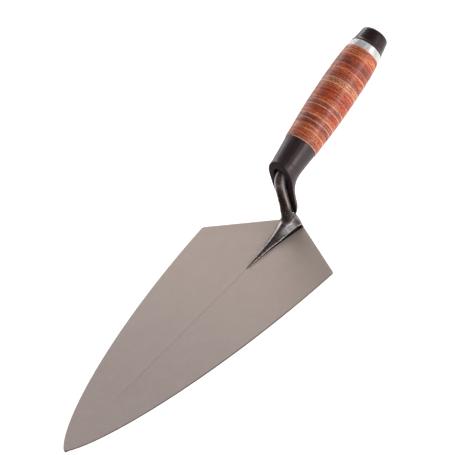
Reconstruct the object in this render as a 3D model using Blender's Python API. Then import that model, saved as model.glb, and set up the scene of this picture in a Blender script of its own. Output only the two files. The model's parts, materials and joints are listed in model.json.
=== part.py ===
"""Brick trowel: an 11 x 5-1/2 inch square-heel blade, a forged shank, a finger guard and a leather grip.

Lengths are in millimetres and become metres when a mesh is made.
+Z is up, the blade lies flat with its sole on z = 0, the tip points to -Y and the handle to +Y.
The origin is on the sole, under the middle of the blade's widest line.
Profile points on the plane x = 0 are (y, z) pairs. The handle has its own axis: "along" is the distance
behind the front face of the leather.
"""

import math

import bmesh
import bpy
from mathutils import Vector

MM = 0.001
GAP = 0.3                       # clearance kept between two touching pieces

# Blade
BLADE_LENGTH = 279.4            # 11 in, heel point to tip
BLADE_WIDTH = 139.7             # 5-1/2 in, corner to corner
BLADE_THICKNESS = 1.8
HEEL_DEPTH = 40.2               # from the widest line back to the heel point
SIDE_HANDLE_1 = (59.0, -121.0)  # Bezier handles of the convex side, (x, y)
SIDE_HANDLE_2 = (25.0, -218.0)
SIDE_STEPS = 26
CORNER_RADIUS = 2.0
TIP_RADIUS = 1.5

# Shank: a spear-shaped foot on the blade, a round neck that rises from it, and the tang in the handle
NECK_RADIUS = 4.5
TANG_RADIUS = 4.0
NECK_END = -22.0                # along the handle, where the neck narrows into the tang
TANG_START = -19.0
THREAD_RADIUS = 3.0
THREAD_BEFORE_WASHER = 0.4      # thread that shows in front of the tang washer
THREAD_RUN_OUT = 0.6
RING_POINTS = 16

# Handle axis
HANDLE_TILT = math.radians(14.92)
LEATHER_FRONT = (HEEL_DEPTH + 26.1, 55.5)

# Leather washers, front to back
WASHER_PITCHES = (4.7, 4.7, 4.2, 4.4, 4.8, 4.4, 4.5, 4.5, 4.5, 4.4,
                  4.4, 4.4, 5.1, 4.9, 4.7, 4.8, 5.0, 4.7, 4.8, 3.9)
GRIP_PROFILE = ((0.0, 14.2), (10.0, 14.75), (24.0, 15.6), (37.0, 16.1), (55.0, 16.3),
                (71.0, 16.15), (85.0, 15.5), (91.8, 14.8))
WASHER_SEGMENTS = 28

# End of the handle
END_RING_LENGTH = 6.8
END_RING_RADII = (14.5, 14.3)
CAP_LENGTH = 15.2
CAP_CAVITY_RADIUS = 9.2
CAP_CAVITY_DEPTH = 10.4
TANG_WASHER_RADIUS = 8.0
TANG_WASHER_THICKNESS = 1.6
NUT_ACROSS_FLATS = 10.0
NUT_THICKNESS = 5.0
THREAD_PAST_NUT = 1.5
TURNED_SEGMENTS = 40
HARDWARE_SEGMENTS = 24          # a multiple of six, for the nut's corners

# Finger guard
GUARD_RING_POINTS = 28
GUARD_STEPS = 2
GUARD_CHANNEL_HALF_WIDTH = 6.4
GUARD_CHANNEL_END_HALF_DEPTH = 6.0
GUARD_PLUG_LENGTH = 18.0        # solid length behind the hood, bored for the tang
CUTTER_HALF_WIDTH = 20.0        # wider than the guard
CUTTER_REACH = 4.0              # how far a bore's cutter runs past the end of the bore

LEATHER_LENGTH = sum(WASHER_PITCHES)


# Points and curves

def on_handle(along, up):
    """(y, z) of a point beside the handle axis, on the plane x = 0."""
    y = LEATHER_FRONT[0] + along * math.cos(HANDLE_TILT) - up * math.sin(HANDLE_TILT)
    z = LEATHER_FRONT[1] + along * math.sin(HANDLE_TILT) + up * math.cos(HANDLE_TILT)
    return (y, z)


def from_heel(y, z):
    """A profile point given from the heel point, as the shank and the guard are dimensioned."""
    return (y + HEEL_DEPTH, z)


def read_profile(profile, place):
    """Value of a piecewise linear profile of (place, value) pairs."""
    if place <= profile[0][0]:
        return profile[0][1]
    for (start, low), (end, high) in zip(profile, profile[1:]):
        if place <= end:
            return low + (high - low) * (place - start) / (end - start)
    return profile[-1][1]


def bezier(start, handle_1, handle_2, end, steps):
    """Points on a cubic Bezier curve, both ends included."""
    points = []
    for step in range(steps + 1):
        t = step / steps
        weights = ((1 - t) ** 3, 3 * (1 - t) ** 2 * t, 3 * (1 - t) * t ** 2, t ** 3)
        corners = (start, handle_1, handle_2, end)
        points.append(tuple(sum(w * c[axis] for w, c in zip(weights, corners)) for axis in (0, 1)))
    return points


def smooth_stations(stations, steps):
    """The stations with steps - 1 more between each two, on a Catmull-Rom spline through them all."""
    ends = [stations[0]] + list(stations) + [stations[-1]]
    made = []
    for before, start, end, after in zip(ends, ends[1:], ends[2:], ends[3:]):
        for step in range(steps):
            t = step / steps
            made.append(tuple(0.5 * (2 * b + (c - a) * t + (2 * a - 5 * b + 4 * c - d) * t ** 2
                                     + (3 * b - a - 3 * c + d) * t ** 3)
                              for a, b, c, d in zip(before, start, end, after)))
    made.append(tuple(stations[-1]))
    return made


def arc(centre, radius, start_degrees, end_degrees, steps):
    """Points on an arc, both ends included."""
    points = []
    for step in range(steps + 1):
        angle = math.radians(start_degrees + (end_degrees - start_degrees) * step / steps)
        points.append((centre[0] + radius * math.cos(angle), centre[1] + radius * math.sin(angle)))
    return points


# Meshes and objects

def make_material(name, color, roughness, metallic):
    material = bpy.data.materials.new(name)
    material.use_nodes = True
    shader = material.node_tree.nodes["Principled BSDF"]
    shader.inputs["Base Color"].default_value = (*color, 1.0)
    shader.inputs["Roughness"].default_value = roughness
    shader.inputs["Metallic"].default_value = metallic
    return material


def make_object(name, mesh_data, material=None, sharp_degrees=35.0):
    """Finish a bmesh given in millimetres as a named object with smooth shading."""
    bmesh.ops.recalc_face_normals(mesh_data, faces=mesh_data.faces[:])
    bmesh.ops.scale(mesh_data, vec=(MM, MM, MM), verts=mesh_data.verts[:])
    mesh = bpy.data.meshes.new(name)
    mesh_data.to_mesh(mesh)
    mesh_data.free()
    mesh.shade_smooth()
    mesh.set_sharp_from_angle(angle=math.radians(sharp_degrees))
    piece = bpy.data.objects.new(name, mesh)
    bpy.context.scene.collection.objects.link(piece)
    if material:
        mesh.materials.append(material)
    return piece


def loft(rings, closed=False):
    """A solid through rings of equal length; closed joins the last ring to the first, as on a washer."""
    solid = bmesh.new()
    loops = [[solid.verts.new(point) for point in ring] for ring in rings]
    pairs = list(zip(loops, loops[1:]))
    if closed:
        pairs.append((loops[-1], loops[0]))
    else:
        solid.faces.new(loops[0])
        solid.faces.new(loops[-1])
    count = len(rings[0])
    for first, second in pairs:
        for index in range(count):
            following = (index + 1) % count
            solid.faces.new((first[index], first[following], second[following], second[index]))
    return solid


def circle(radius, height, count):
    """A ring about +Z, for pieces turned about the handle axis."""
    return [(x, y, height) for x, y in arc((0, 0), radius, 0, 360, count)[:-1]]


def ellipse_between(top, bottom, half_width, count):
    """A ring on the plane through x and the line top-bottom, both (y, z) points."""
    ring = []
    for index in range(count):
        angle = 2 * math.pi * index / count
        share = (1 + math.cos(angle)) / 2
        y = bottom[0] + (top[0] - bottom[0]) * share
        z = bottom[1] + (top[1] - bottom[1]) * share
        ring.append((half_width * math.sin(angle), y, z))
    return ring


def prism(outline, depth_low, depth_high, to_point):
    """Extrude an outline of pairs between two depths; to_point turns (pair, depth) into (x, y, z)."""
    solid = bmesh.new()
    base = solid.faces.new([solid.verts.new(to_point(pair, depth_low)) for pair in outline])
    sides = bmesh.ops.extrude_face_region(solid, geom=[base])["geom"]
    moved = [item for item in sides if isinstance(item, bmesh.types.BMVert)]
    shift = Vector(to_point(outline[0], depth_high)) - Vector(to_point(outline[0], depth_low))
    bmesh.ops.translate(solid, verts=moved, vec=shift)
    return solid


def combine(piece, tool, operation):
    """Boolean of two solids; the tool is hidden and left out of the model."""
    tool.hide_render = True
    tool.display_type = "WIRE"
    modifier = piece.modifiers.new(tool.name, "BOOLEAN")
    modifier.operation = operation
    modifier.object = tool
    modifier.solver = "EXACT"


def place_on_handle(piece, along, handle):
    piece.parent = handle
    piece.location = (0, 0, along * MM)


# Blade

def rounded_corner(corner, before, after, radius, steps=4):
    """Points of a small arc that replaces a corner, as a quadratic curve between its two ends."""
    corner = Vector(corner)
    start = corner + (Vector(before) - corner).normalized() * radius
    end = corner + (Vector(after) - corner).normalized() * radius
    points = []
    for step in range(steps + 1):
        t = step / steps
        points.append(tuple(start * (1 - t) ** 2 + corner * 2 * t * (1 - t) + end * t ** 2))
    return points


def blade_outline():
    """Closed outline, right side down from the heel to the tip, then the left side back up."""
    heel = (0.0, HEEL_DEPTH)
    corner = (BLADE_WIDTH / 2, 0.0)
    tip_y = HEEL_DEPTH - BLADE_LENGTH
    side = bezier(corner, SIDE_HANDLE_1, SIDE_HANDLE_2, (TIP_RADIUS, tip_y + TIP_RADIUS / 2), SIDE_STEPS)
    right = rounded_corner(corner, heel, side[1], CORNER_RADIUS) + side[1:]
    left = [(-x, y) for x, y in reversed(right)]
    return [heel] + right + [(0.0, tip_y)] + left


def make_blade():
    steel = make_material("brushed_blade_steel", (0.39, 0.33, 0.29), 0.35, 1.0)
    solid = prism(blade_outline(), 0.0, BLADE_THICKNESS, lambda pair, depth: (pair[0], pair[1], depth))
    return make_object("blade", solid, steel)


# Shank

# Points on a flank between the wall and the crest: share of the half width, then share of the height where
# the flank is hollow, beside the neck, and where it is full, towards the spear point
FLANK = ((0.72, 0.14, 0.42), (0.46, 0.38, 0.76), (0.27, 0.68, 0.92), (0.12, 0.93, 0.99))


def foot_ring(y, half_width, wall_top, crest, fullness):
    """Cross-section of the foot: upright walls, flanks and a crest over the centreline."""
    base = BLADE_THICKNESS + GAP
    right = [(0.5 * half_width, base), (half_width, base), (half_width, wall_top)]
    for share, hollow, full in FLANK:
        rise = hollow + (full - hollow) * fullness
        right.append((share * half_width, wall_top + rise * (crest - wall_top)))
    left = [(-x, z) for x, z in reversed(right)]
    return [(x, y + HEEL_DEPTH, z) for x, z in [(0.0, base)] + right + [(0.0, crest)] + left]


def rod_ring(centre, direction_degrees, half_width, half_depth):
    """Round cross-section of the neck or tang, square to its direction in the plane x = 0."""
    turn = math.radians(direction_degrees)
    outward = (-math.sin(turn), math.cos(turn))
    ring = []
    for index in range(RING_POINTS):
        angle = 2 * math.pi * index / RING_POINTS
        reach = -half_depth * math.cos(angle)
        ring.append((half_width * math.sin(angle), centre[0] + reach * outward[0],
                     centre[1] + reach * outward[1]))
    return ring


# Foot stations from the spear point to the heel: y from the heel, half width, wall top, crest, fullness
FOOT_STATIONS = ((-65.0, 0.5, 2.4, 2.6, 1.0), (-56.0, 1.6, 2.5, 3.2, 1.0), (-45.0, 2.8, 2.6, 4.1, 0.9),
                 (-34.0, 4.3, 2.7, 5.3, 0.7), (-27.0, 5.7, 2.9, 6.6, 0.5), (-21.5, 6.9, 3.5, 8.1, 0.3),
                 (-16.0, 8.3, 4.4, 9.6, 0.1), (-11.0, 9.4, 4.7, 11.0, 0.0), (-6.1, 10.2, 4.7, 11.4, 0.1),
                 (-0.8, 1.6, 4.7, 7.4, 0.3))
FOOT_STEPS = 3
# Neck stations: centre (y, z) from the heel, direction in degrees above +Y, half width, half depth
NECK_STATIONS = ((-13.9, 6.0, 25.0, 4.4, 3.0), (-11.2, 8.6, 50.0, 4.9, 4.2),
                 (-9.6, 12.0, 70.0, 4.7, 4.6), (-8.5, 16.0, 82.0, 4.8, 4.7),
                 (-7.8, 20.0, 88.0, 4.8, 4.8), (-7.5, 24.5, 88.0, 4.5, 4.5),
                 (-7.0, 31.0, 86.0, 4.5, 4.5), (-6.3, 38.5, 82.0, 4.5, 4.5),
                 (-5.2, 42.8, 69.0, 4.5, 4.5), (-2.9, 46.2, 48.0, 4.5, 4.5),
                 (0.8, 48.4, 25.0, 4.5, 4.5))
NECK_STEPS = 2


def neck_and_tang_rings():
    rings = []
    for y, z, direction, half_width, half_depth in smooth_stations(NECK_STATIONS, NECK_STEPS):
        rings.append(rod_ring(from_heel(y, z), direction, half_width, half_depth))
    washer_start = LEATHER_LENGTH + END_RING_LENGTH
    thread_start = washer_start - THREAD_BEFORE_WASHER
    thread_end = washer_start + TANG_WASHER_THICKNESS + 3 * GAP + NUT_THICKNESS + THREAD_PAST_NUT
    tilt = math.degrees(HANDLE_TILT)
    for along, radius in ((NECK_END, NECK_RADIUS), (TANG_START, TANG_RADIUS),
                          (thread_start - THREAD_RUN_OUT, TANG_RADIUS), (thread_start, THREAD_RADIUS),
                          (thread_end, THREAD_RADIUS)):
        rings.append(rod_ring(on_handle(along, 0), tilt, radius, radius))
    return rings


def make_shank():
    forged = make_material("forged_shank_steel", (0.06, 0.052, 0.048), 0.38, 0.9)
    shank = make_object("shank", loft(neck_and_tang_rings()), forged)
    foot_rings = [foot_ring(*station) for station in smooth_stations(FOOT_STATIONS, FOOT_STEPS)]
    foot = make_object("shank_foot", loft(foot_rings))
    combine(shank, foot, "UNION")
    return shank


# Finger guard

def guard_shell_rings():
    """Outer shell from the leather round the bend to the end of the tail."""
    rings = []
    for along, radius in ((-GAP, 13.8), (-8.0, 13.1), (-16.0, 12.5), (-21.0, 12.2)):
        rings.append(ellipse_between(on_handle(along, radius), on_handle(along, -radius), radius,
                                     GUARD_RING_POINTS))
    bend = (((0.5, 61.2), (11.3, 38.4), 12.0), ((-5.2, 60.0), (7.8, 36.9), 11.8),
            ((-10.0, 56.0), (4.8, 34.5), 11.6), ((-12.6, 50.0), (2.7, 31.3), 11.2),
            ((-13.6, 42.0), (1.9, 27.5), 10.5), ((-14.0, 33.0), (1.6, 22.5), 9.7),
            ((-14.2, 24.0), (1.3, 18.4), 9.2), ((-14.2, 17.5), (0.4, 15.5), 8.4),
            ((-14.1, 14.6), (-1.6, 13.3), 7.5), ((-13.0, 12.7), (-4.4, 12.2), 5.9))
    flat = [(*top, *bottom, half_width) for top, bottom, half_width in bend]
    for top_y, top_z, bottom_y, bottom_z, half_width in smooth_stations(flat, GUARD_STEPS):
        rings.append(ellipse_between(from_heel(top_y, top_z), from_heel(bottom_y, bottom_z), half_width,
                                     GUARD_RING_POINTS))
    return rings


def guard_channel_rings():
    """Clearance round the neck, open below, that ends in the hood in front of the solid plug."""
    stations = ((-10.2, 3.0, 90.0, 6.4), (-10.0, 12.0, 90.0, 6.4), (-8.7, 16.0, 89.0, 6.4),
                (-7.8, 21.0, 88.0, 6.5), (-7.0, 31.0, 86.0, 6.6), (-6.0, 39.0, 80.0, 6.8),
                (-4.4, 43.8, 64.0, 7.2), (-1.8, 46.8, 42.0, 7.4), (2.0, 48.9, 22.0, 7.2))
    rings = []
    for y, z, direction, half_depth in smooth_stations(stations, GUARD_STEPS):
        rings.append(channel_ring(from_heel(y, z), direction, half_depth))
    rings.append(channel_ring(on_handle(-GUARD_PLUG_LENGTH, 0), math.degrees(HANDLE_TILT),
                              GUARD_CHANNEL_END_HALF_DEPTH))
    return rings


def channel_ring(centre, direction_degrees, half_depth):
    return rod_ring(centre, direction_degrees, GUARD_CHANNEL_HALF_WIDTH, half_depth)


def guard_front_outline():
    """Side view of what is cut away in front of the rim, from over the hood down past the tail."""
    clear_of_guard = ((-30.0, 2.0), (-30.0, 68.0))
    rim = ((-1.6, 63.0), (-2.9, 57.5), (-3.3, 51.0), (-3.5, 44.0), (-4.4, 37.0), (-4.9, 30.0),
           (-5.2, 22.0), (-5.4, 17.5), (-5.5, 14.6), (-5.1, 13.0), (-3.9, 12.2), (1.0, 11.0))
    return [from_heel(y, z) for y, z in rim + clear_of_guard]


def make_finger_guard():
    plastic = make_material("black_guard_plastic", (0.035, 0.035, 0.038), 0.42, 0.0)
    guard = make_object("finger_guard", loft(guard_shell_rings()), plastic)
    front = prism(guard_front_outline(), -CUTTER_HALF_WIDTH, CUTTER_HALF_WIDTH,
                  lambda pair, depth: (depth, pair[0], pair[1]))
    bore_radius = TANG_RADIUS + GAP
    bore = [rod_ring(on_handle(along, 0), math.degrees(HANDLE_TILT), bore_radius, bore_radius)
            for along in (-GUARD_PLUG_LENGTH - CUTTER_REACH, CUTTER_REACH)]
    combine(guard, make_object("guard_front_cutter", front), "DIFFERENCE")
    combine(guard, make_object("guard_channel_cutter", loft(guard_channel_rings())), "DIFFERENCE")
    combine(guard, make_object("guard_bore_cutter", loft(bore)), "DIFFERENCE")
    return guard


# Handle pieces, turned about the handle axis

def make_washer(number, start, pitch, handle):
    """One stacked leather washer, its rim following the swell of the grip."""
    tones = ((0.42, 0.13, 0.05), (0.30, 0.085, 0.04), (0.52, 0.17, 0.06))
    leather = make_material("leather_%02d" % number, tones[number % len(tones)], 0.55, 0.0)
    thickness = pitch - GAP
    bore = TANG_RADIUS + GAP
    radii = (bore, read_profile(GRIP_PROFILE, start), read_profile(GRIP_PROFILE, start + thickness), bore)
    heights = (0.0, 0.0, thickness, thickness)
    rings = [circle(radius, height, WASHER_SEGMENTS) for radius, height in zip(radii, heights)]
    washer = make_object("leather_washer_%02d" % number, loft(rings, closed=True), leather)
    place_on_handle(washer, start, handle)


def make_leather_grip(handle):
    start = 0.0
    for number, pitch in enumerate(WASHER_PITCHES, start=1):
        make_washer(number, start, pitch, handle)
        start += pitch


def make_end_ring(handle):
    aluminium = make_material("polished_aluminium", (0.85, 0.86, 0.87), 0.18, 1.0)
    length = END_RING_LENGTH - GAP
    front, back = END_RING_RADII
    bore = TANG_RADIUS + GAP
    edge = 0.5
    profile = ((bore, 0), (front - edge, 0), (front, edge), (back, length - edge), (back - edge, length),
               (bore, length))
    rings = [circle(radius, height, TURNED_SEGMENTS) for radius, height in profile]
    place_on_handle(make_object("end_ring", loft(rings, closed=True), aluminium), LEATHER_LENGTH, handle)


def make_tang_washer(handle):
    zinc = make_material("zinc_plated_washer", (0.55, 0.56, 0.58), 0.35, 1.0)
    bore = THREAD_RADIUS + GAP
    profile = ((bore, 0), (TANG_WASHER_RADIUS, 0), (TANG_WASHER_RADIUS, TANG_WASHER_THICKNESS),
               (bore, TANG_WASHER_THICKNESS))
    rings = [circle(radius, height, HARDWARE_SEGMENTS) for radius, height in profile]
    place_on_handle(make_object("tang_washer", loft(rings, closed=True), zinc),
                    LEATHER_LENGTH + END_RING_LENGTH, handle)


def make_tang_nut(handle):
    """Hexagon nut: each bore point faces a point on the hexagon, so the two faces stay simple."""
    zinc = make_material("zinc_plated_nut", (0.55, 0.56, 0.58), 0.35, 1.0)
    bore = THREAD_RADIUS + GAP
    hexagon = []
    for index in range(HARDWARE_SEGMENTS):
        angle = 360 * index / HARDWARE_SEGMENTS
        from_flat = math.radians((angle % 60) - 30)
        radius = NUT_ACROSS_FLATS / 2 / math.cos(from_flat)
        hexagon.append((radius * math.cos(math.radians(angle)), radius * math.sin(math.radians(angle))))
    rings = [circle(bore, 0, HARDWARE_SEGMENTS), [(x, y, 0) for x, y in hexagon],
             [(x, y, NUT_THICKNESS) for x, y in hexagon], circle(bore, NUT_THICKNESS, HARDWARE_SEGMENTS)]
    start = LEATHER_LENGTH + END_RING_LENGTH + TANG_WASHER_THICKNESS + GAP
    place_on_handle(make_object("tang_nut", loft(rings, closed=True), zinc), start, handle)


def make_end_cap(handle):
    """Moulded cup over the nut, with a thin rim, a tapering wall and a flat end."""
    plastic = make_material("black_cap_plastic", (0.03, 0.03, 0.033), 0.4, 0.0)
    profile = ((CAP_CAVITY_RADIUS, CAP_CAVITY_DEPTH), (CAP_CAVITY_RADIUS, 0.0), (13.8, 0.0), (14.0, 0.3),
               (14.0, 1.0), (13.7, 1.4), (12.7, 7.3), (12.1, 10.6), (11.7, 13.4), (11.1, 14.6),
               (10.2, CAP_LENGTH))
    rings = [circle(radius, height, TURNED_SEGMENTS) for radius, height in profile]
    place_on_handle(make_object("end_cap", loft(rings), plastic), LEATHER_LENGTH + END_RING_LENGTH, handle)


def make_handle_axis():
    """Empty whose +Z runs back along the handle from the front face of the leather."""
    handle = bpy.data.objects.new("handle_axis", None)
    bpy.context.scene.collection.objects.link(handle)
    handle.location = (0, LEATHER_FRONT[0] * MM, LEATHER_FRONT[1] * MM)
    handle.rotation_euler = (HANDLE_TILT - math.pi / 2, 0, 0)
    return handle


def main():
    for item in list(bpy.data.objects):
        bpy.data.objects.remove(item)
    make_blade()
    make_shank()
    make_finger_guard()
    handle = make_handle_axis()
    make_leather_grip(handle)
    make_end_ring(handle)
    make_tang_washer(handle)
    make_tang_nut(handle)
    make_end_cap(handle)


main()
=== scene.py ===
"""Brick trowel: the looks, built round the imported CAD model.

Lengths are in metres and MM turns millimetres into metres. +Z is up, the tip points to -Y.
The pieces on the handle are made in its own frame: local +Z runs back along the grip.
"""

import json
import math

import bmesh
import bpy
import numpy as np
from mathutils import Matrix, Vector, noise


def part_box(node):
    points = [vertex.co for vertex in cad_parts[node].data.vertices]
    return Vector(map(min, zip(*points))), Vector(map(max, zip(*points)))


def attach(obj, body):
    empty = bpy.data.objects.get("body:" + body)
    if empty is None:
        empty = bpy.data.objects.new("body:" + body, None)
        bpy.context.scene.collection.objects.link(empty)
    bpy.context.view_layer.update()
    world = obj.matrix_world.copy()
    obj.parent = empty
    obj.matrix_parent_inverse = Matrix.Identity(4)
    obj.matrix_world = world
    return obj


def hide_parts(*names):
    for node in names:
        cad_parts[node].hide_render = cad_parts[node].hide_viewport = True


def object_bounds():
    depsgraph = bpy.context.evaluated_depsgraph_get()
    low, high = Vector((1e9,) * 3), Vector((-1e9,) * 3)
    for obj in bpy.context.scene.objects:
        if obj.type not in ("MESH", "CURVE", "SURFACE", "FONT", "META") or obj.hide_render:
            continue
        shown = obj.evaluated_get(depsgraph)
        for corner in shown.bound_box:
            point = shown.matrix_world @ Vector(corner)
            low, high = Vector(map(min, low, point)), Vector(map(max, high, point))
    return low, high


MM = 0.001

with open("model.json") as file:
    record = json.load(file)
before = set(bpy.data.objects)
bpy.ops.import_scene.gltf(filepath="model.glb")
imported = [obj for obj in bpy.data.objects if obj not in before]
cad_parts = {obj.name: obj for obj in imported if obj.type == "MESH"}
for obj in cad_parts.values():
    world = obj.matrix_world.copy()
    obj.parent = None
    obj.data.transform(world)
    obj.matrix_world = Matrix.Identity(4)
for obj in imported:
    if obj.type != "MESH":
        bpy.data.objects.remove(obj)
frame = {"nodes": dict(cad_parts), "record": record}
cad_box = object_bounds()


# Handle frame

def find_mount(name):
    return next(mount for mount in frame["record"]["mounts"] if mount["name"] == name)


HANDLE_AXIS = Vector(find_mount("butt_end")["axis"]).normalized()
BUTT = Vector(find_mount("butt_end")["pos_m"])


def handle_points(node):
    """A node's points as (place along the handle axis, 0 at the butt; distance from the axis)."""
    vertices = frame["nodes"][node].data.vertices
    points = np.array([vertex.co for vertex in vertices], float) - np.array(BUTT)
    along = points @ np.array(HANDLE_AXIS)
    radius = np.linalg.norm(points - np.outer(along, HANDLE_AXIS), axis=1)
    return along, radius


LEATHER_FRONT = BUTT + HANDLE_AXIS * float(handle_points("leather_washer_01")[0].min())
AT_END = 0.1 * MM           # points this near an end of a piece count as lying on it


def handle_frame(along=0.0):
    """Matrix of a piece that starts that far behind the front of the leather."""
    side = Vector((1, 0, 0))
    under = HANDLE_AXIS.cross(side)
    turn = Matrix((side, under, HANDLE_AXIS)).transposed().to_4x4()
    return Matrix.Translation(LEATHER_FRONT + HANDLE_AXIS * along) @ turn


def handle_span(node):
    """(start, end, front radius, back radius) of a handle piece, from the front of the leather."""
    along, radius = handle_points(node)
    shift = (LEATHER_FRONT - BUTT).dot(HANDLE_AXIS)
    start, end = float(along.min()), float(along.max())
    front = float(radius[along < start + AT_END].max())
    back = float(radius[along > end - AT_END].max())
    return start - shift, end - shift, front, back


# Materials
#
# Zones of a material are placed by height above the sole, by distance from the blade's heel and by the
# way the surface faces, so they stay on the trowel whatever side it is seen from.

FOOT_LENGTH = 57.2 * MM     # from the foot's point to its widest place
FOOT_FLARE = 1.45           # how its half-width grows along it, as a power


class Recipe:
    """A Principled material built from short calls.

    Sizes are metres, in the model's frame or in the one given as place.
    """

    def __init__(self, name, sockets, place=None):
        self.place = place
        self.material = bpy.data.materials.new(name)
        self.material.use_nodes = True
        self.nodes = self.material.node_tree.nodes
        self.links = self.material.node_tree.links
        self.shader = self.nodes["Principled BSDF"]
        for socket, value in sockets.items():
            self.shader.inputs[socket].default_value = value

    def node(self, kind, inputs, **settings):
        made = self.nodes.new(kind)
        for key, value in settings.items():
            setattr(made, key, value)
        for key, value in inputs.items():
            if isinstance(value, bpy.types.NodeSocket):
                self.links.new(value, made.inputs[key])
            else:
                made.inputs[key].default_value = value
        return made

    def position(self):
        where = self.node("ShaderNodeTexCoord", {}).outputs["Object"]
        if self.place is None:
            return where
        inputs = {"Vector": where, "Location": self.place.to_translation(),
                  "Rotation": self.place.to_euler()}
        return self.node("ShaderNodeMapping", inputs, vector_type="TEXTURE").outputs["Vector"]

    def axis(self, name):
        return self.node("ShaderNodeSeparateXYZ", {"Vector": self.position()}).outputs[name]

    def noise(self, grain, detail=3.0, roughness=0.55, stretch=(1, 1, 1), offset=0.0):
        """Noise from about 0 to 1 whose features are grain across, and longer on an axis by its stretch."""
        scale = [1 / (grain * factor) for factor in stretch]
        place = self.node("ShaderNodeMapping", {"Vector": self.position(), "Scale": scale,
                                                "Location": (offset, offset, offset)})
        texture = self.node("ShaderNodeTexNoise", {"Vector": place.outputs["Vector"], "Scale": 1.0,
                                                   "Detail": detail, "Roughness": roughness})
        return self.span(texture.outputs["Fac"], 0.3, 0.7)

    def edge_proudness(self):
        """How far each vertex stands proud of its neighbours, as stored on the mesh; it places painted
        highlights and shade on edges.
        """
        return self.node("ShaderNodeAttribute", {}, attribute_name="edge_proudness").outputs["Fac"]

    def facing(self, name):
        """How far the surface faces along an axis of the model's frame, from -1 to 1."""
        normal = self.node("ShaderNodeNewGeometry", {}).outputs["Normal"]
        return self.node("ShaderNodeSeparateXYZ", {"Vector": normal}).outputs[name]

    def span(self, value, low, high, to_low=0.0, to_high=1.0):
        """Value moved from low..high to to_low..to_high, and kept inside it."""
        inputs = {"Value": value, "From Min": low, "From Max": high, "To Min": to_low, "To Max": to_high}
        return self.node("ShaderNodeMapRange", inputs).outputs["Result"]

    def product(self, first, *others):
        """Masks multiplied together."""
        for other in others:
            first = self.math("MULTIPLY", first, other)
        return first

    def band(self, value, start, full, fade_start, end):
        """A mask that rises from start to full and falls again from fade_start to end."""
        return self.product(self.span(value, start, full), self.span(value, fade_start, end, 1, 0))

    def math(self, operation, first, second=0.0):
        return self.node("ShaderNodeMath", {0: first, 1: second}, operation=operation).outputs["Value"]

    def mix(self, factor, first, second, blend="MIX"):
        """Colours mixed by a factor; a colour is an (r, g, b) triple or a socket."""
        made = self.node("ShaderNodeMix", {"Factor": factor}, data_type="RGBA", blend_type=blend)
        colors = [socket for socket in made.inputs if socket.type == "RGBA"]
        for socket, value in zip(colors, (first, second)):
            if isinstance(value, bpy.types.NodeSocket):
                self.links.new(value, socket)
            else:
                socket.default_value = (*value, 1.0)
        return next(socket for socket in made.outputs if socket.type == "RGBA")

    def bump(self, height, distance, normal=None):
        """Surface relief of that depth in metres, laid over another one when given."""
        inputs = {"Height": height, "Distance": distance, "Strength": 1.0}
        if normal is not None:
            inputs["Normal"] = normal
        return self.node("ShaderNodeBump", inputs).outputs["Normal"]

    def finish(self, color, roughness=None, normal=None, metallic=None):
        """Link the finished sockets to the shader and return the material."""
        for key, value in (("Base Color", color), ("Roughness", roughness), ("Normal", normal),
                           ("Metallic", metallic)):
            if value is not None:
                self.links.new(value, self.shader.inputs[key])
        return self.material


def beside_foot(recipe):
    """How far a point is outside the foot's outline, which flares towards the heel."""
    behind = recipe.math("SUBTRACT", recipe.axis("Y"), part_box("shank")[0].y)
    share = recipe.math("DIVIDE", recipe.math("MAXIMUM", behind, 0.0), FOOT_LENGTH)
    half_width = recipe.product(recipe.math("POWER", share, FOOT_FLARE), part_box("shank")[1].x)
    return recipe.math("SUBTRACT", recipe.math("ABSOLUTE", recipe.axis("X")), half_width)


def foot_shadow_line(steel):
    """Mask of the painted shadow line round the foot on the blade, thin at the foot's point."""
    foot_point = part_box("shank")[0].y
    reach = steel.span(steel.axis("Y"), foot_point, foot_point + 25 * MM, -0.4 * MM, 0.9 * MM)
    outside = steel.math("SUBTRACT", beside_foot(steel), reach)
    return steel.span(outside, -0.2 * MM, 0.2 * MM, 1, 0)


def blade_steel():
    """Ground and fine-blasted carbon steel, warm, with painted shade that darkens it towards the tip and on
    its edges, and a painted shadow line round the foot.
    """
    steel = Recipe("blade_steel", {"Metallic": 0.35, "Specular IOR Level": 0.2})
    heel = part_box("blade")[1].y
    clouds = steel.noise(14 * MM, 5.0, 0.7)
    grain = steel.noise(0.8 * MM, 3.0, 0.7)
    brushed = steel.noise(0.35 * MM, 2.0, 0.6, stretch=(1, 14, 1))
    along, across = steel.axis("Y"), steel.math("ABSOLUTE", steel.axis("X"))
    facing_up = steel.facing("Z")
    color = steel.mix(clouds, (0.484, 0.395, 0.352), (0.508, 0.418, 0.374))
    color = steel.mix(steel.span(grain, 0, 1, 0.0, 0.28), color, (0.230, 0.182, 0.162))
    # Painted shade: the blade gets darker towards the tip.
    tip_shade = steel.span(along, heel - 80 * MM, heel - 200 * MM)
    color = steel.mix(tip_shade, color, (0.86, 0.865, 0.90), "MULTIPLY")
    on_top = steel.span(facing_up, 0.5, 0.8)
    # Painted shadow on the blade's top round the foot.
    color = steel.mix(steel.product(foot_shadow_line(steel), on_top), color, (0.018, 0.011, 0.010))
    middle_line = steel.product(steel.span(across, 0.3 * MM, 0.9 * MM, 0.20, 0.0),
                                steel.span(along, heel - 235 * MM, heel - 190 * MM), on_top)
    color = steel.mix(middle_line, color, (0.16, 0.12, 0.10))
    # Painted shade on the blade's side walls, lighter near the heel.
    edge = steel.band(facing_up, -0.9, -0.6, 0.4, 0.8)
    edge_shade_tint = steel.mix(steel.span(along, heel - 60 * MM, heel - 140 * MM),
                          (0.13, 0.10, 0.095), (0.05, 0.033, 0.027))
    color = steel.mix(edge, color, edge_shade_tint)
    relief = steel.bump(grain, 0.012 * MM)
    relief = steel.bump(brushed, 0.006 * MM, relief)
    return steel.finish(color, steel.span(brushed, 0, 1, 0.48, 0.60), relief)


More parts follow.
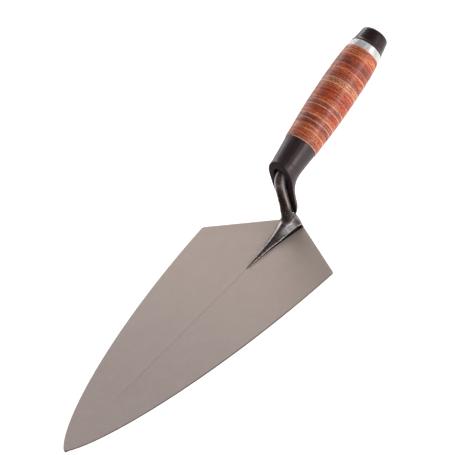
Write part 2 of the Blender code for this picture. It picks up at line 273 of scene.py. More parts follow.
def paint_neck(steel, color):
    """The rod's brown bend, with painted light on its right side, painted shade on its front and left side,
    and a painted highlight on its upper left.
    """
    height = steel.axis("Z")
    brown = steel.band(height, 7 * MM, 13 * MM, 22 * MM, 36 * MM)
    color = steel.mix(brown, color, (0.036, 0.014, 0.011))
    to_back_right = steel.math("ADD", steel.product(steel.facing("X"), 0.78),
                               steel.product(steel.facing("Y"), 0.63))
    # Painted light on the rod's right and back-facing side.
    right_side_light = steel.product(steel.span(to_back_right, 0.2, 1.0),
                             steel.span(height, 14 * MM, 24 * MM))
    color = steel.mix(right_side_light, color, (0.50, 0.43, 0.42))
    # Painted shade on the rod where it faces the front.
    front = steel.product(steel.span(steel.facing("Y"), -0.45, -0.85),
                          steel.band(height, 12 * MM, 16 * MM, 34 * MM, 40 * MM))
    color = steel.mix(front, color, (0.034, 0.017, 0.013))
    # Painted shade on the rod's left side.
    left = steel.product(steel.span(steel.facing("X"), -0.15, -0.5),
                         steel.band(height, 12 * MM, 16 * MM, 32 * MM, 38 * MM), 0.85)
    color = steel.mix(left, color, (0.022, 0.013, 0.012))
    # Painted highlight on the rod's upper left side.
    upper_left_highlight = steel.product(steel.span(steel.facing("X"), -0.1, -0.5),
                               steel.span(height, 34 * MM, 38 * MM))
    return steel.mix(upper_left_highlight, color, (0.36, 0.34, 0.38))


def paint_foot(steel, color, flecks, crust):
    """The foot's patches, the crust over it, and the web behind it, with painted highlights on its right
    shoulder and left flank; also the mask of rough steel.
    """
    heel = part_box("blade")[1].y
    height, along, across = steel.axis("Z"), steel.axis("Y"), steel.axis("X")
    patches = steel.noise(2.6 * MM, 4.0, 0.7, offset=9.0)
    foot = steel.product(steel.span(height, 9 * MM, 12 * MM, 1, 0), 0.8)
    color = steel.mix(foot, color, steel.mix(patches, (0.036, 0.026, 0.026), (0.24, 0.20, 0.20)))
    dark_crust = steel.product(crust, steel.span(flecks, 0.24, 0.36))
    color = steel.mix(dark_crust, color, (0.010, 0.002, 0.001))
    pale_crust = steel.product(crust, steel.span(flecks, 0.30, 0.15))
    color = steel.mix(pale_crust, color, (0.15, 0.11, 0.10))
    web = steel.product(steel.span(along, heel - 8 * MM, heel - 5 * MM),
                        steel.span(height, 14 * MM, 17 * MM, 1, 0))
    color = steel.mix(web, color, steel.mix(flecks, (0.135, 0.103, 0.100), (0.022, 0.014, 0.013)))
    low = steel.span(height, 7 * MM, 9 * MM, 1, 0)
    # The right shoulder is rougher ground steel; its near-white colour is partly a painted highlight.
    shoulder_and_highlight = steel.product(low, steel.span(across, 2 * MM, 4 * MM),
                             steel.span(along, heel - 30 * MM, heel - 18 * MM),
                             steel.span(along, heel - 13 * MM, heel - 8 * MM, 1.0, 0.35))
    shoulder_highlight_tint = steel.mix(patches, (0.26, 0.22, 0.22), (0.85, 0.80, 0.81))
    color = steel.mix(shoulder_and_highlight, color, shoulder_highlight_tint)
    # Painted highlight on the foot's left flank.
    left_flank_highlight = steel.product(low, steel.span(across, -0.5 * MM, -2 * MM),
                               steel.span(along, heel - 62 * MM, heel - 45 * MM), 0.9)
    color = steel.mix(left_flank_highlight, color, (0.74, 0.73, 0.77))
    rough = steel.math("MAXIMUM", steel.math("MAXIMUM", crust, web), shoulder_and_highlight)
    return color, rough


def paint_foot_edges(steel, color):
    """The foot's painted shade along its left edge, painted shade on its proud ridges on the left and a
    painted highlight on them on the right, and black side walls.
    """
    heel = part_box("blade")[1].y
    height, along, across = steel.axis("Z"), steel.axis("Y"), steel.axis("X")
    # Painted shade along the foot's left edge.
    edge_start = steel.span(along, heel - 65 * MM, heel - 8 * MM, -0.3 * MM, -3.6 * MM)
    past_start = steel.math("SUBTRACT", beside_foot(steel), edge_start)
    left_edge_shade = steel.product(steel.span(past_start, 0, 1 * MM),
                              steel.span(height, 7 * MM, 9 * MM, 1, 0),
                              steel.span(across, 0, -0.5 * MM))
    color = steel.mix(left_edge_shade, color, (0.060, 0.050, 0.052))
    proud_ridge = steel.span(steel.edge_proudness(), 0.3, 0.9)
    # Painted shade on the proud ridges on the left side.
    left_ridge_shade = steel.product(proud_ridge, steel.span(across, 0, -1 * MM))
    color = steel.mix(left_ridge_shade, color, (0.030, 0.022, 0.024))
    # Painted highlight on the proud ridges on the right side, near the heel.
    right_ridge_highlight = steel.product(proud_ridge, steel.span(across, 0, 1 * MM),
                               steel.span(along, heel - 32 * MM, heel - 14 * MM))
    color = steel.mix(right_ridge_highlight, color, (0.85, 0.83, 0.83))
    wall = steel.product(steel.span(steel.facing("Z"), 0.25, 0.50, 1, 0),
                         steel.span(height, 5 * MM, 6 * MM, 1, 0))
    return steel.mix(wall, color, (0.012, 0.008, 0.008))


def forged_steel():
    """Oiled forging: a dark glossy rod, a crusted brown bend, a rough web and a patchy foot."""
    steel = Recipe("forged_steel", {"IOR": 1.5, "Coat Weight": 0.25, "Coat Roughness": 0.10,
                                    "Specular Tint": (1.0, 0.87, 0.87, 1.0)})
    haze = steel.noise(5 * MM, 4.0, 0.6)
    pits = steel.noise(0.8 * MM, 4.0, 0.65)
    flecks = steel.noise(1.5 * MM, 4.0, 0.75, stretch=(1, 1, 0.8), offset=4.0)
    crust = steel.band(steel.axis("Z"), 8 * MM, 11 * MM, 17 * MM, 22 * MM)
    color = steel.mix(haze, (0.045, 0.031, 0.027), (0.090, 0.069, 0.063))
    color = paint_neck(steel, color)
    color, rough = paint_foot(steel, color, flecks, crust)
    color = paint_foot_edges(steel, color)
    roughness = steel.span(rough, 0, 1, steel.span(pits, 0, 1, 0.20, 0.32), 0.50)
    relief = steel.bump(haze, 0.06 * MM)
    relief = steel.bump(pits, 0.03 * MM, relief)
    relief = steel.bump(steel.product(crust, flecks), 0.30 * MM, relief)
    return steel.finish(color, roughness, relief, steel.span(rough, 0, 1, 0.7, 0.15))


def moulded_plastic(name, tint, roughness, reflection, rim_roughness=None):
    """Black polymer with a fine moulded texture and faint flow marks; a cut rim in front can be rougher."""
    plastic = Recipe(name, {"IOR": 1.5, "Specular IOR Level": reflection,
                            "Specular Tint": (1.0, 0.86, 0.88, 1.0)})
    texture = plastic.noise(0.45 * MM, 2.0, 0.5)
    flow = plastic.noise(9 * MM, 3.0, 0.5)
    color = plastic.mix(flow, tint, tuple(1.4 * channel for channel in tint))
    gloss = plastic.span(flow, 0, 1, roughness - 0.03, roughness + 0.05)
    rim_sheen = None
    if rim_roughness:
        rim = plastic.span(plastic.facing("Y"), -0.55, -0.8)
        gloss = plastic.span(rim, 0, 1, gloss, rim_roughness)
        rim_sheen = plastic.product(rim, 0.65)
    return plastic.finish(color, gloss, plastic.bump(texture, 0.012 * MM), rim_sheen)


def turned_aluminium():
    """Satin aluminium with the fine rings that turning leaves round the axis."""
    metal = Recipe("turned_aluminium", {"Metallic": 0.15}, handle_frame())
    rings = metal.noise(0.30 * MM, 2.0, 0.6, stretch=(60, 60, 1))
    smears = metal.noise(2.2 * MM, 3.0, 0.6, stretch=(1, 1, 6))
    color = metal.mix(smears, (0.50, 0.485, 0.48), (0.86, 0.85, 0.85))
    color = metal.mix(metal.span(rings, 0.5, 1, 0, 0.30), color, (0.45, 0.43, 0.43))
    roughness = metal.span(rings, 0, 1, 0.20, 0.40)
    return metal.finish(color, roughness, metal.bump(rings, 0.06 * MM))


def zinc_plate():
    """Zinc plate with its small bright spangles."""
    zinc = Recipe("zinc_plate", {"Metallic": 1.0})
    spangle = zinc.noise(1.2 * MM, 3.0, 0.5)
    color = zinc.mix(spangle, (0.50, 0.52, 0.55), (0.66, 0.68, 0.70))
    return zinc.finish(color, zinc.span(spangle, 0, 1, 0.26, 0.42), zinc.bump(spangle, 0.01 * MM))


RAW_EDGE = (0.95, 0.64, 0.45)
BURNT_EDGE = (0.05, 0.018, 0.012)
SPECK = (0.040, 0.014, 0.010)
SEAM_WIDTH = 0.40 * MM      # on each side of a joint between two washers


def washer_leather(name, tone, start, thickness, seed, front_seam, back_seam):
    """Burnished, lacquered vegetable-tanned leather cut across its layers.

    A seam is from -1, burnt dark, to 1, cream.
    """
    leather = Recipe(name, {"IOR": 1.45, "Specular IOR Level": 0.42,
                            "Coat Weight": 0.2, "Coat Roughness": 0.24}, handle_frame(start))
    layers = leather.noise(0.95 * MM, 2.0, 0.6, stretch=(24, 24, 1), offset=seed)
    hairlines = leather.noise(0.38 * MM, 1.0, 0.5, stretch=(30, 30, 1), offset=seed + 5.3)
    blotches = leather.noise(5 * MM, 4.0, 0.7, stretch=(1, 1, 0.45), offset=seed + 3.1)
    fibres = leather.noise(0.50 * MM, 4.0, 0.75, stretch=(4, 4, 1), offset=seed + 7.7)
    specks = leather.noise(0.75 * MM, 3.0, 0.75, stretch=(1.5, 1.5, 0.9), offset=seed + 12.9)
    dark = (0.36 * tone[0], 0.30 * tone[1], 0.32 * tone[2])
    light = (min(0.95, 1.3 * tone[0]), 1.95 * tone[1], 2.6 * tone[2])
    color = tone
    # Texture, where its tint starts and is full, the tint's share there, and the tint
    for texture, low, high, share, tint in ((layers, 0.52, 0.80, 1.0, light),
                                            (layers, 0.44, 0.18, 0.85, dark),
                                            (hairlines, 0.58, 0.80, 0.80, dark),
                                            (hairlines, 0.38, 0.15, 0.65, light),
                                            (blotches, 0.45, 1.0, 0.55, dark),
                                            (fibres, 0.50, 0.75, 0.80, dark),
                                            (specks, 0.58, 0.72, 0.85, SPECK)):
        color = leather.mix(leather.span(texture, low, high, 0.0, share), color, tint)
    along = leather.axis("Z")
    for distance, lightness in ((along, front_seam),
                                (leather.math("SUBTRACT", thickness, along), back_seam)):
        nearness = leather.span(distance, 0.6 * SEAM_WIDTH, SEAM_WIDTH, 1.0, 0.0)
        ragged = leather.product(nearness, abs(lightness),
                                 leather.span(blotches, 0.25, 0.80, 1.0, 0.40))
        color = leather.mix(ragged, color, RAW_EDGE if lightness > 0 else BURNT_EDGE)
    relief = leather.bump(layers, 0.08 * MM)
    relief = leather.bump(hairlines, 0.04 * MM, relief)
    relief = leather.bump(fibres, 0.03 * MM, relief)
    return leather.finish(color, leather.span(fibres, 0, 1, 0.40, 0.62), relief)


# Meshes

FULL_PROUDNESS = 0.10            # how proud an edge's point is, in mean edge lengths, when it counts as 1
PROUDNESS_SMOOTHING = 2          # rounds


def fade(value, start, end):
    """0 at start, 1 at end and beyond it, straight in between."""
    return min(1.0, max(0.0, (value - start) / (end - start)))


def make_piece(name, mesh, material, nodes, matrix=None):
    """Show a finished mesh in place of its CAD nodes, riding on the trowel's one body."""
    if matrix:
        mesh.transform(matrix)
    piece = bpy.data.objects.new(name, mesh)
    bpy.context.scene.collection.objects.link(piece)
    mesh.materials.clear()
    mesh.materials.append(material)
    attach(piece, "root")
    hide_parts(*nodes)


def mesh_from_skin(name, skin, sharp_degrees):
    """Turn a bmesh into a smooth mesh with sharp edges, and free it."""
    bmesh.ops.recalc_face_normals(skin, faces=skin.faces[:])
    mesh = bpy.data.meshes.new(name)
    skin.to_mesh(mesh)
    skin.free()
    mesh.shade_smooth()
    mesh.set_sharp_from_angle(angle=math.radians(sharp_degrees))
    return mesh


def mesh_from_rings(name, rings, closed_tube=False, sharp_degrees=50.0):
    """A solid skin through rings of equal length; a closed tube joins the last ring to the first."""
    skin = bmesh.new()
    loops = [[skin.verts.new(point) for point in ring] for ring in rings]
    pairs = list(zip(loops, loops[1:]))
    if closed_tube:
        pairs.append((loops[-1], loops[0]))
    else:
        skin.faces.new(loops[0])
        skin.faces.new(loops[-1])
    count = len(rings[0])
    for first, second in pairs:
        for index in range(count):
            following = (index + 1) % count
            skin.faces.new((first[index], first[following], second[following], second[index]))
    return mesh_from_skin(name, skin, sharp_degrees)


def turned_rings(profile, segments, wobble=0.0, seed=0.0):
    """Rings about local Z through (radius, height) pairs.

    Wobble is how far a hand-finished rim is off round.
    """
    rings = []
    for radius, height in profile:
        ring = []
        for index in range(segments):
            angle = 2 * math.pi * index / segments
            where = Vector((2 * math.cos(angle), 2 * math.sin(angle), seed + height / (6 * MM)))
            reach = radius + wobble * noise.noise(where)
            ring.append((reach * math.cos(angle), reach * math.sin(angle), height))
        rings.append(ring)
    return rings


def bezier(start, handle_1, handle_2, end, steps):
    """Points on a cubic Bezier curve, both ends included."""
    points = []
    for step in range(steps + 1):
        t = step / steps
        weights = ((1 - t) ** 3, 3 * (1 - t) ** 2 * t, 3 * (1 - t) * t ** 2, t ** 3)
        corners = (start, handle_1, handle_2, end)
        points.append(tuple(sum(w * c[axis] for w, c in zip(weights, corners)) for axis in (0, 1)))
    return points


def mark_edge_proudness(mesh):
    """Store on each vertex how far it stands proud of its neighbours, from 0 on a flat to 1 on an edge."""
    count = len(mesh.vertices)
    places, normals = np.empty(3 * count), np.empty(3 * count)
    mesh.vertices.foreach_get("co", places)
    mesh.vertex_normals.foreach_get("vector", normals)
    places, normals = places.reshape(-1, 3), normals.reshape(-1, 3)
    ends = np.empty(2 * len(mesh.edges), int)
    mesh.edges.foreach_get("vertices", ends)
    first, second = ends[0::2], ends[1::2]
    degree = np.bincount(ends, minlength=count)

    def neighbour_mean(values):
        total = np.zeros_like(values)
        np.add.at(total, first, values[second])
        np.add.at(total, second, values[first])
        return total / degree.reshape((-1,) + (1,) * (values.ndim - 1))

    spacing = np.linalg.norm(places[first] - places[second], axis=1).mean()
    proud = ((places - neighbour_mean(places)) * normals).sum(axis=1) / spacing
    for _ in range(PROUDNESS_SMOOTHING):
        proud = neighbour_mean(proud)
    edge_proudness = mesh.attributes.new("edge_proudness", "FLOAT", "POINT")
    edge_proudness.data.foreach_set("value", np.clip(proud / FULL_PROUDNESS, 0, 1).astype(np.float32))


def smooth_copy(node, voxel, rounds):
    """A CAD node's shape on a fine even mesh, its edges eased by rounds of smoothing."""
    source = bpy.data.objects.new(node + "_source", frame["nodes"][node].data.copy())
    bpy.context.scene.collection.objects.link(source)
    remesh = source.modifiers.new("remesh", "REMESH")
    remesh.mode = "VOXEL"
    remesh.voxel_size = voxel
    ease = source.modifiers.new("ease", "SMOOTH")
    ease.factor = 0.5
    ease.iterations = rounds
    bpy.context.view_layer.update()
    mesh = bpy.data.meshes.new_from_object(source.evaluated_get(bpy.context.evaluated_depsgraph_get()))
    bpy.data.objects.remove(source)
    mesh.name = node
    mesh.shade_smooth()
    return mesh


# Blade

SIDE_HANDLE_1 = (59 * MM, -121 * MM)    # Bezier handles of the convex side, (x, y)
SIDE_HANDLE_2 = (25 * MM, -218 * MM)
SIDE_STEPS = 60
CORNER_EASE = 2.0 * MM
CORNER_STEPS = 8
HEEL_STEPS = 23
TIP_HALF_WIDTH = 1.5 * MM
# Rings round the top edge: how far in from the outline, and how far below the top face
TOP_EDGE = ((0.8 * MM, 0.0), (0.35 * MM, 0.0), (0.10 * MM, 0.07 * MM), (0.0, 0.28 * MM))
WALL_AT_CORNERS = 1.0 * MM              # upright edge under the top face, thinner towards the tip
WALL_AT_TIP = 0.65 * MM
SOLE_BEVEL = 1.6 * MM
SOLE_RIM = 0.8 * MM                     # flat strip inside the bevel
RIDGE_HEIGHT = 0.06 * MM
RIDGE_HALF_WIDTH = 1.0 * MM
RIDGE_START = 20 * MM                   # from the tip, where the ridge starts to rise
RIDGE_FULL = 80 * MM
# Rows of vertices across a face, as shares of the half width, close together near the ridge
BLADE_COLUMNS = (0.0, 0.006, 0.014, 0.026, 0.045, 0.08, 0.16, 0.3, 0.5, 0.75)


def blade_side(low, high):
    """Right side of the outline from the heel point round the corner to the tip, in (x, y)."""
    corner = Vector((high.x, 0.0))
    heel = Vector((0.0, high.y))
    side = bezier(tuple(corner), SIDE_HANDLE_1, SIDE_HANDLE_2,
                  (TIP_HALF_WIDTH, low.y + TIP_HALF_WIDTH / 2), SIDE_STEPS)
    before = corner + (heel - corner).normalized() * CORNER_EASE
    after = corner + (Vector(side[1]) - corner).normalized() * CORNER_EASE
    eased = [tuple(before * (1 - t) ** 2 + corner * 2 * t * (1 - t) + after * t ** 2)
             for t in np.linspace(0, 1, CORNER_STEPS + 1)]
    heel_line = [tuple(heel.lerp(before, t)) for t in np.linspace(0, 1, HEEL_STEPS + 1)[:-1]]
    return heel_line + eased + side[1:] + [(0.0, low.y)]


def inset_side(side, distance):
    """The side moved inwards, by less where the blade is narrower than the inset."""
    moved = []
    for index, (x, y) in enumerate(side):
        before = Vector(side[index - 1]) if index else Vector((-side[1][0], side[1][1]))
        last = index == len(side) - 1
        after = Vector((-side[index - 1][0], side[index - 1][1])) if last else Vector(side[index + 1])
        tangent = (after - before).normalized()
        inward = Vector((tangent.y, -tangent.x))
        reach = distance if index == 0 else min(distance, 0.45 * x + 0.2 * MM)
        point = Vector((x, y)) + inward * reach
        moved.append((max(0.0, point.x) if 0 < index and not last else 0.0, point.y))
    return moved


def blade_ridge(x, y, low):
    """Height of the faint forged ridge down the middle, gone before the tip."""
    rise = fade(y, low.y + RIDGE_START, low.y + RIDGE_FULL)
    return RIDGE_HEIGHT * rise * math.exp(-abs(x) / RIDGE_HALF_WIDTH)


def outline_ring(skin, side, height):
    """Vertices of the right side, at height(y), and of the left side, which share both ends."""
    right = [skin.verts.new((x, y, height(y))) for x, y in side]
    mirrored = [skin.verts.new((-v.co.x, v.co.y, v.co.z)) for v in right[1:-1]]
    return right, [right[0]] + mirrored + [right[-1]]


def bridge_rings(skin, upper, lower):
    """Faces between two rings of the blade, on its right side and on its left."""
    for outer, inner, turn in ((upper[0], lower[0], 1), (upper[1], lower[1], -1)):
        for index in range(len(outer) - 1):
            corners = (outer[index], outer[index + 1], inner[index + 1], inner[index])
            skin.faces.new(corners[::turn])


def cover_ring(skin, ring, height):
    """Rows of faces across the blade between the two sides of a ring, at height(x, y)."""
    right, left = ring
    rows = [[right[0]]]
    for index in range(1, len(right) - 1):
        width, y = right[index].co.x, right[index].co.y
        inner = [skin.verts.new((share * width, y, height(share * width, y)))
                 for share in BLADE_COLUMNS]
        mirrored = [skin.verts.new((-v.co.x, v.co.y, v.co.z)) for v in inner[1:]]
        rows.append([left[index]] + mirrored[::-1] + inner + [right[index]])
    rows.append([right[-1]])
    for point, row in ((rows[0][0], rows[1]), (rows[-1][0], rows[-2])):
        for one, other in zip(row, row[1:]):
            skin.faces.new((point, one, other))
    for first, second in zip(rows[1:-1], rows[2:-1]):
        for column in range(len(first) - 1):
            skin.faces.new((first[column], first[column + 1], second[column + 1], second[column]))


def make_blade():
    """Flat plate with an eased top edge, an upright wall and a bevel round its sole."""
    low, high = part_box("blade")
    top = high.z
    side = blade_side(low, high)
    skin = bmesh.new()

    def wall_bottom(y):
        return top - WALL_AT_CORNERS - (WALL_AT_TIP - WALL_AT_CORNERS) * fade(y, 0.0, low.y)

    rings = [outline_ring(skin, inset_side(side, inset), lambda y, depth=depth: top - depth)
             for inset, depth in TOP_EDGE]
    rings.append(outline_ring(skin, side, wall_bottom))
    rings += [outline_ring(skin, inset_side(side, inset), lambda y: low.z)
              for inset in (SOLE_BEVEL, SOLE_BEVEL + SOLE_RIM)]
    for upper, lower in zip(rings, rings[1:]):
        bridge_rings(skin, upper, lower)
    cover_ring(skin, rings[0], lambda x, y: top + blade_ridge(x, y, low))
    cover_ring(skin, rings[-1], lambda x, y: low.z)
    mesh = mesh_from_skin("blade", skin, sharp_degrees=40)
    make_piece("blade_forging", mesh, blade_steel(), ["blade"])
    return top


# Shank and finger guard

FOOT_LOWER_PART = 1.4 * MM  # above the blade; the foot is stretched down onto the blade below this
FOOT_BASE_GAP = 0.3 * MM    # from the blade to the foot's base in the CAD model
FOOT_BASE_DROP = 0.6 * MM   # how far the base moves, which sinks it into the blade
LUMPS = ((4.5 * MM, 0.22 * MM), (1.8 * MM, 0.10 * MM))  # size and height of the forging's lumps
LUMPS_OFF_NECK = 0.25       # their share on the foot and inside the guard

TAIL_REACH = 2.5 * MM       # how far the end of the guard's tail is drawn down
TAIL_START = 5.0 * MM       # above the guard's lowest point, where that starts and is full
TAIL_FULL = 1.0 * MM
TAIL_MIDDLE = 3.5 * MM      # from the centreline, where it is still full and where it is gone
TAIL_SIDE = 7.3 * MM


def make_shank(blade_top):
    """The forging on a fine mesh: its foot let down onto the blade, its neck left knobbly."""
    mesh = smooth_copy("shank", voxel=0.31 * MM, rounds=3)
    foot_top = blade_top + FOOT_LOWER_PART
    normals = [vertex.normal.copy() for vertex in mesh.vertices]
    for vertex, normal in zip(mesh.vertices, normals):
        place = vertex.co
        lumps = sum(noise.noise(place / size) * height for size, height in LUMPS)
        neck = fade(place.z, 9 * MM, 13 * MM) * fade(place.z, 34 * MM, 26 * MM)
        vertex.co += normal * lumps * (LUMPS_OFF_NECK + (1 - LUMPS_OFF_NECK) * neck)
        if place.z < foot_top:
            place.z -= FOOT_BASE_DROP * (foot_top - place.z) / (FOOT_LOWER_PART - FOOT_BASE_GAP)
    mark_edge_proudness(mesh)
    make_piece("shank_forging", mesh, forged_steel(), ["shank"])


def make_finger_guard():
    """The moulding with eased edges; its tail ends in a round U that reaches down to the foot."""
    mesh = smooth_copy("finger_guard", voxel=0.32 * MM, rounds=9)
    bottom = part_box("finger_guard")[0].z
    for vertex in mesh.vertices:
        place = vertex.co
        low = fade(place.z, bottom + TAIL_START, bottom + TAIL_FULL)
        place.z -= TAIL_REACH * low * fade(abs(place.x), TAIL_SIDE, TAIL_MIDDLE)
    material = moulded_plastic("guard_plastic", (0.019, 0.010, 0.012), 0.42, 0.57, rim_roughness=0.62)
    make_piece("finger_guard_moulding", mesh, material, ["finger_guard"])


# Leather grip

ORANGE = (0.74, 0.130, 0.034)
BRIGHT = (0.85, 0.153, 0.037)
RED = (0.67, 0.095, 0.028)
BROWN = (0.57, 0.107, 0.041)
DARK = (0.44, 0.078, 0.034)
PALE = (0.86, 0.240, 0.098)

# Each washer from the front: its tone, and how light the seam behind it is; below 0 is burnt dark
WASHER_LOOKS = ((BROWN, 0.25), (ORANGE, 0.8), (BRIGHT, 0.25), (DARK, 0.75), (BROWN, 0.8),
                (BRIGHT, -0.4), (RED, 0.75), (BROWN, 0.7), (ORANGE, -0.5), (RED, -0.4),
                (RED, -0.3), (ORANGE, 0.9), (PALE, 0.7), (BROWN, -0.3), (ORANGE, 0.7),
                (RED, 0.3), (DARK, -0.4), (RED, 0.35), (BRIGHT, 0.35), (ORANGE, 0.3))
FIRST_SEAM = 0.9            # how light the leather's front edge is
SEAM_EASE = 0.12 * MM       # rounding of a washer's two rims
SEAM_CHAMFER = 0.3 * SEAM_EASE
WASHER_BULGE = 0.06 * MM
BULGE_SHARES = (0.1, 0.25, 0.5, 0.75, 0.9)
HAND_WOBBLE = 0.10 * MM
WASHER_SEGMENTS = 96


def make_washer(number, start, end, front, back, bore, front_seam):
    tone, back_seam = WASHER_LOOKS[number - 1]
    thickness = end - start
    profile = [(bore, 0.0), (front - SEAM_EASE, 0.0), (front - SEAM_CHAMFER, SEAM_CHAMFER)]
    for share in BULGE_SHARES:
        bulge = WASHER_BULGE * (math.sin(math.pi * share) - 0.3)
        profile.append((front + (back - front) * share + bulge, thickness * share))
    profile += [(back - SEAM_CHAMFER, thickness - SEAM_CHAMFER), (back - SEAM_EASE, thickness),
                (bore, thickness)]
    name = "leather_layer_%02d" % number
    rings = turned_rings(profile, WASHER_SEGMENTS, wobble=HAND_WOBBLE, seed=1.7 * number)
    mesh = mesh_from_rings(name, rings, closed_tube=True, sharp_degrees=60)
    material = washer_leather(name, tone, start, thickness, 11.3 * number, front_seam, back_seam)
    make_piece(name, mesh, material, ["leather_washer_%02d" % number], handle_frame(start))


def make_grip():
    """Every washer reaches to the next one, so the stack shows no gaps."""
    count = len(WASHER_LOOKS)
    spans = [handle_span("leather_washer_%02d" % number) for number in range(1, count + 1)]
    stack_end = handle_span("end_ring")[0]
    bore = float(handle_points("leather_washer_01")[1].min())
    seam = FIRST_SEAM
    for number, (start, _, front, back) in enumerate(spans, start=1):
        end = spans[number][0] if number < count else stack_end
        make_washer(number, start, end, front, back, bore, seam)
        seam = WASHER_LOOKS[number - 1][1]


# End of the handle

RING_EASE = 0.45 * MM       # rounding of the ring's two edges
RING_FACE = 1.0 * MM        # flat strip inside each of them
RING_FLARE = 0.3 * MM       # how much the back edge is wider than the end of the CAD model's chamfer

CAP_CAVITY_DEPTH = 0.71     # as a share of the cap's length
CAP_CAVITY_EASE = 0.6 * MM
CAP_EASE = 0.25 * MM        # rounding of the front of the rim
CAP_RIM = 0.95 * MM         # length of the rim's full width
CAP_LIP = 1.6 * MM          # from the front of the cap to where its wall starts
CAP_STEP = 0.5 * MM         # how far the wall lies inside the rim
CAP_TAPER = 0.12            # how much the wall narrows, as a share of the rim's radius
CAP_CORNER = 3.0 * MM       # length of the soft corner at the flat end
CAP_CORNER_DEPTH = 0.8      # how far the corner and the flat end's first ring lie inside the wall,
CAP_FLAT_START = 1.2        # both as shares of the corner's length
NEAR_AXIS = 0.01 * MM       # where a turned solid closes on its axis
TURNED_SEGMENTS = 128


def make_end_ring():
    start, _, _, back = handle_span("end_ring")
    length = handle_span("end_cap")[0] - start
    radius = handle_points("end_ring")[1]
    outer, bore = float(radius.max()), float(radius.min())
    back_edge = back + RING_FLARE
    profile = [(bore, 0.0), (outer - RING_FACE, 0.0)]
    for angle in (math.radians(60), math.radians(30), 0.0):
        profile.append((outer - RING_EASE + RING_EASE * math.cos(angle),
                        RING_EASE - RING_EASE * math.sin(angle)))
    for angle in (0.0, math.radians(30), math.radians(60)):
        profile.append((back_edge - RING_EASE + RING_EASE * math.cos(angle),
                        length - RING_EASE + RING_EASE * math.sin(angle)))
    profile += [(back_edge - RING_FACE, length), (bore, length)]
    rings = turned_rings(profile, TURNED_SEGMENTS)
    mesh = mesh_from_rings("end_ring_turned", rings, closed_tube=True, sharp_degrees=40)
    make_piece("end_ring_turned", mesh, turned_aluminium(), ["end_ring"],
               handle_frame(start))


def make_end_cap():
    """Moulded cup with a thin rim, a tapering wall and a soft edge round its flat end."""
    start, end, _, _ = handle_span("end_cap")
    length = end - start
    along, radius = handle_points("end_cap")
    rim = float(radius.max())
    cavity = float(radius[along < along.min() + AT_END].min())
    depth = CAP_CAVITY_DEPTH * length
    wall = rim - CAP_STEP
    profile = [(NEAR_AXIS, depth), (cavity - CAP_CAVITY_EASE, depth), (cavity, depth - CAP_CAVITY_EASE),
               (cavity, 0.0), (rim - CAP_EASE, 0.0), (rim, CAP_EASE), (rim, CAP_RIM),
               (rim - 0.2 * MM, 1.3 * MM), (wall, CAP_LIP)]
    for share in (0.2, 0.4, 0.6, 0.8, 1.0):
        height = CAP_LIP + (length - CAP_CORNER - CAP_LIP) * share
        profile.append((wall - CAP_TAPER * rim * share, height))
    corner_radius, corner_height = profile[-1]
    for angle in (18, 36, 54, 72, 90):
        turn = math.radians(angle)
        profile.append((corner_radius - CAP_CORNER_DEPTH * CAP_CORNER * (1 - math.cos(turn)),
                        corner_height + CAP_CORNER * math.sin(turn)))
    profile += [(corner_radius - CAP_FLAT_START * CAP_CORNER, length), (NEAR_AXIS, length)]
    mesh = mesh_from_rings("end_cap_moulding", turned_rings(profile, TURNED_SEGMENTS), sharp_degrees=50)
    material = moulded_plastic("cap_plastic", (0.018, 0.009, 0.010), 0.24, 0.31)
    make_piece("end_cap_moulding", mesh, material, ["end_cap"], handle_frame(start))


def plate_the_nut():
    """The nut and washer inside the cap keep their CAD shapes."""
    zinc = zinc_plate()
    for node in ("tang_washer", "tang_nut"):
        materials = frame["nodes"][node].data.materials
        materials.clear()
        materials.append(zinc)


# Studio

CAMERA_AIM = Vector((-11.54, -16.88, 34.55)) * MM
CAMERA_AZIMUTH = 53.50      # degrees
CAMERA_ELEVATION = 37.19
CAMERA_ROLL = -20.33
CAMERA_DISTANCE = 1.80      # metres
CAMERA_LENS = 181.2         # millimetres, on a sensor 36 mm wide
FLOOR_SIZE = 8.0
FLOOR_GAP = 0.1 * MM        # below the blade's sole
SOFTBOX_DISTANCE = 3.0


def make_camera():
    azimuth = math.radians(CAMERA_AZIMUTH)
    elevation = math.radians(CAMERA_ELEVATION)
    roll = math.radians(CAMERA_ROLL)
    back = Vector((math.sin(azimuth) * math.cos(elevation),
                   -math.cos(azimuth) * math.cos(elevation), math.sin(elevation)))
    level = Vector((math.cos(azimuth), math.sin(azimuth), 0))
    above = back.cross(level)
    right = level * math.cos(roll) + above * math.sin(roll)
    up = above * math.cos(roll) - level * math.sin(roll)
    data = bpy.data.cameras.new("camera")
    data.lens = CAMERA_LENS
    data.sensor_width = 36
    data.clip_end = 20
    camera = bpy.data.objects.new("camera", data)
    bpy.context.scene.collection.objects.link(camera)
    turn = Matrix((right, up, back)).transposed().to_4x4()
    camera.matrix_world = Matrix.Translation(CAMERA_AIM + back * CAMERA_DISTANCE) @ turn
    bpy.context.scene.camera = camera


def make_floor():
    """A bright flat floor that stays white and takes only a faint shadow."""
    half = FLOOR_SIZE / 2
    mesh = bpy.data.meshes.new("floor")
    level = cad_box[0].z - FLOOR_GAP
    corners = [(-half, -half, level), (half, -half, level), (half, half, level), (-half, half, level)]
    mesh.from_pydata(corners, [], [(0, 1, 2, 3)])
    floor = bpy.data.objects.new("floor", mesh)
    bpy.context.scene.collection.objects.link(floor)
    paper = Recipe("floor_paper", {"Roughness": 0.9, "Emission Color": (1, 1, 1, 1),
                                   "Emission Strength": 0.70, "Specular IOR Level": 0.0})
    tooth = paper.noise(3 * MM, 2.0)
    mesh.materials.append(paper.finish(paper.mix(tooth, (0.93, 0.93, 0.93), (0.95, 0.95, 0.95))))


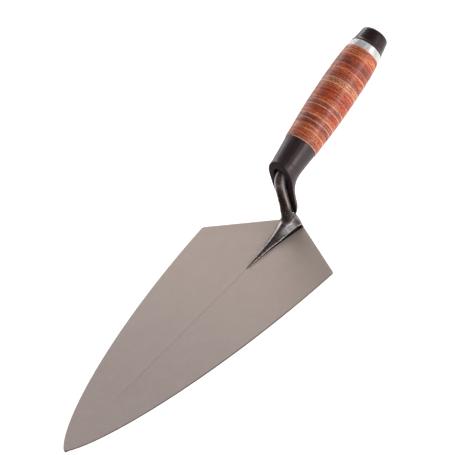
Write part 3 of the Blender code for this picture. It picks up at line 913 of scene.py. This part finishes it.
def make_softbox(name, direction, size, power):
    """A rectangular soft light in that direction from the trowel's middle, facing it."""
    data = bpy.data.lights.new(name, "AREA")
    data.shape = "RECTANGLE"
    data.size, data.size_y = size
    data.energy = power
    lamp = bpy.data.objects.new(name, data)
    bpy.context.scene.collection.objects.link(lamp)
    direction = Vector(direction).normalized()
    middle = (cad_box[0] + cad_box[1]) / 2
    lamp.matrix_world = (Matrix.Translation(middle + direction * SOFTBOX_DISTANCE)
                         @ direction.to_track_quat("Z", "Y").to_matrix().to_4x4())


def make_studio_walls():
    """Pale walls that fade to a dim ceiling, dimmer in front and on the right than behind on the left."""
    world = bpy.data.worlds.new("studio")
    world.use_nodes = True
    bpy.context.scene.world = world
    nodes, links = world.node_tree.nodes, world.node_tree.links
    direction = nodes.new("ShaderNodeTexCoord").outputs["Generated"]
    height = nodes.new("ShaderNodeSeparateXYZ")
    links.new(direction, height.inputs["Vector"])
    ramp = nodes.new("ShaderNodeValToRGB")
    links.new(height.outputs["Z"], ramp.inputs["Fac"])
    # Sine of the height above the horizon, and the brightness there
    stops = ((0.0, 0.80), (0.35, 0.95), (0.58, 0.95), (0.70, 0.58), (0.85, 0.24), (1.0, 0.10))
    elements = ramp.color_ramp.elements
    while len(elements) < len(stops):
        elements.new(0.5)
    for element, (place, value) in zip(elements, stops):
        element.position = place
        element.color = (value, value, value, 1)
    links.new(ramp.outputs["Color"], nodes["Background"].inputs["Color"])
    behind = nodes.new("ShaderNodeVectorMath")
    behind.operation = "DOT_PRODUCT"
    behind.inputs[1].default_value = (-0.80, 0.60, 0.0)
    links.new(direction, behind.inputs[0])
    dimming = nodes.new("ShaderNodeMapRange")
    links.new(behind.outputs["Value"], dimming.inputs["Value"])
    for socket, value in (("From Min", 0.0), ("From Max", 0.6), ("To Min", 0.55), ("To Max", 1.0)):
        dimming.inputs[socket].default_value = value
    links.new(dimming.outputs["Result"], nodes["Background"].inputs["Strength"])


def make_studio():
    make_camera()
    make_floor()
    make_studio_walls()
    make_softbox("softbox_right", (0.90, 0.30, 0.31), (1.65, 0.85), 41.0)
    make_softbox("softbox_left", (-0.77, 0.52, 0.37), (3.2, 0.8), 34.0)
    bpy.context.scene.view_settings.view_transform = "Standard"


def main():
    make_studio()
    blade_top = make_blade()
    make_shank(blade_top)
    make_finger_guard()
    make_grip()
    make_end_ring()
    make_end_cap()
    plate_the_nut()


main()
